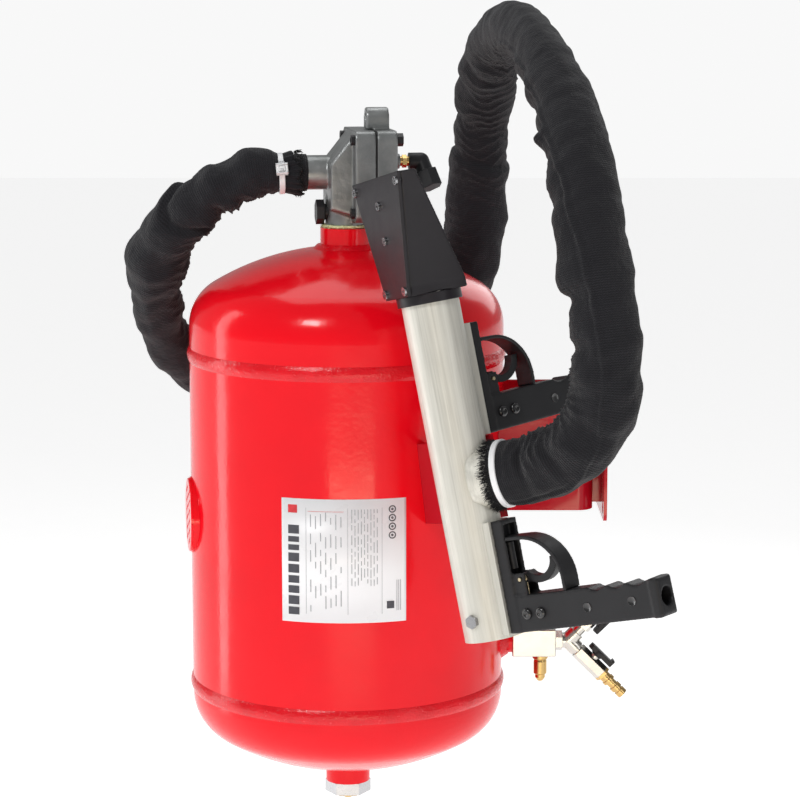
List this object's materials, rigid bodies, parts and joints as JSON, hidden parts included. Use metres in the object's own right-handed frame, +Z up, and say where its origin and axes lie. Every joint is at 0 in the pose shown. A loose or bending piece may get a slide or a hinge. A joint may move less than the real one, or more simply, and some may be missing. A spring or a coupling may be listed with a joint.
{
  "type": "bead seater blaster tank",
  "caption": "Wall-bracketed red air receiver with a quick-release valve, a sleeved blast hose and a two-handled discharge gun with a flat nozzle.",
  "frame": {"origin": "centre of the column plate's outer face", "axes": "+Z up along the receiver's axis; +X out of the column plate, into the column; the label faces -Y"},
  "size_m": [0.4661, 0.5556, 0.7253],
  "materials": {
    "tank_red": "gloss",
    "bracket_red": "gloss",
    "label_white": "satin",
    "tape_white": "matte",
    "cast_aluminium": "satin",
    "barrel_aluminium": "satin",
    "steel": "satin",
    "black_steel": "satin",
    "pin_steel": "satin",
    "nickel": "gloss",
    "brass": "gloss",
    "black_moulding": "satin",
    "nozzle_black": "satin",
    "rubber": "matte",
    "hose_sleeve": "matte",
    "tie_white": "satin"
  },
  "bodies": {
    "root": {"tank_shell": "tank_red", "top_dome": "tank_red", "bottom_dome": "tank_red", "neck_socket": "tank_red", "sealing_tape": "tape_white", "drain_socket": "tank_red", "drain_plug": "steel", "side_boss": "tank_red", "slotted_cover": "tank_red", "tank_label": "label_white", "bracket_arm": "bracket_red", "bracket_pads": "bracket_red", "column_plate": "bracket_red", "gun_cradle": "bracket_red", "side_socket": "tank_red", "manifold_block": "nickel", "relief_valve": "brass", "branch_fitting": "nickel", "quick_plug": "brass", "spare_outlet": "brass", "valve_body": "cast_aluminium", "cover_gasket": "rubber", "valve_cover": "cast_aluminium", "cover_bolts": "black_steel", "diaphragm_spring": "steel", "port_plug": "black_moulding", "pilot_fitting": "brass", "pilot_elbow": "black_moulding", "blast_hose": "hose_sleeve", "valve_end_tie": "tie_white", "weld_beads": "tank_red", "lower_shutoff_body": "nickel", "upper_shutoff_body": "nickel"},
    "gun": {"barrel_tube": "barrel_aluminium", "barrel_plug": "black_moulding", "barrel_screws": "steel", "nozzle_collar": "nozzle_black", "nozzle_body": "nozzle_black", "nozzle_plate": "nozzle_black", "nozzle_screws": "nozzle_black", "inlet_flange": "barrel_aluminium", "trigger_pins": "pin_steel", "trigger_springs": "pin_steel", "handle_screws": "black_moulding", "pilot_cartridges": "black_steel", "gun_end_tie": "tie_white", "lower_handle": "black_moulding", "upper_handle": "black_moulding", "lower_handle_saddle": "barrel_aluminium", "upper_handle_saddle": "barrel_aluminium", "lower_trigger_guard": "black_moulding", "upper_trigger_guard": "black_moulding"},
    "lower_trigger": {"lower_trigger": "black_moulding"},
    "upper_trigger": {"upper_trigger": "black_moulding"},
    "lower_lever": {"lower_ball_stem": "nickel", "lower_valve_lever": "black_moulding"},
    "upper_lever": {"upper_ball_stem": "nickel", "upper_valve_lever": "black_moulding"},
    "diaphragm": {"diaphragm": "rubber"},
    "drain_screw": {"drain_screw": "brass"}
  },
  "joints": [
    {"name": "gun_pull_off", "type": "slide", "parent": "root", "child": "gun", "axis": [-0.3838, -0.9225, 0.0424], "range_m": [0, 0.06]},
    {"name": "lower_trigger_pull", "type": "hinge", "parent": "gun", "child": "lower_trigger", "pos_m": [-0.0798, -0.23716, -0.05914], "axis": [-0.6313, -0.7751, -0.024], "range_deg": [0, 8], "stiffness_Nm_per_rad": 0.4, "springref_deg": -5.73},
    {"name": "upper_trigger_pull", "type": "hinge", "parent": "gun", "child": "upper_trigger", "pos_m": [-0.11026, -0.15984, 0.09148], "axis": [0.6313, -0.7449, 0.2158], "range_deg": [0, 8], "stiffness_Nm_per_rad": 0.4, "springref_deg": -5.73},
    {"name": "lower_lever_turn", "type": "hinge", "parent": "root", "child": "lower_lever", "pos_m": [-0.0097, 0, -0.1931], "axis": [0.7071, 0, 0.7071], "range_deg": [0, 90]},
    {"name": "upper_lever_turn", "type": "hinge", "parent": "root", "child": "upper_lever", "pos_m": [-0.00617, 0, -0.14996], "axis": [0.7071, 0, -0.7071], "range_deg": [0, 90]},
    {"name": "diaphragm_lift", "type": "slide", "parent": "root", "child": "diaphragm", "axis": [0.9877, 0.1564, 0], "range_m": [0, 0.006], "stiffness_N_per_m": 600, "springref_m": -0.004},
    {"name": "drain_turn", "type": "hinge", "parent": "root", "child": "drain_screw", "pos_m": [-0.23, 0, -0.3145], "axis": [0, 0, 1], "range_deg": [0, 180]}
  ]
}
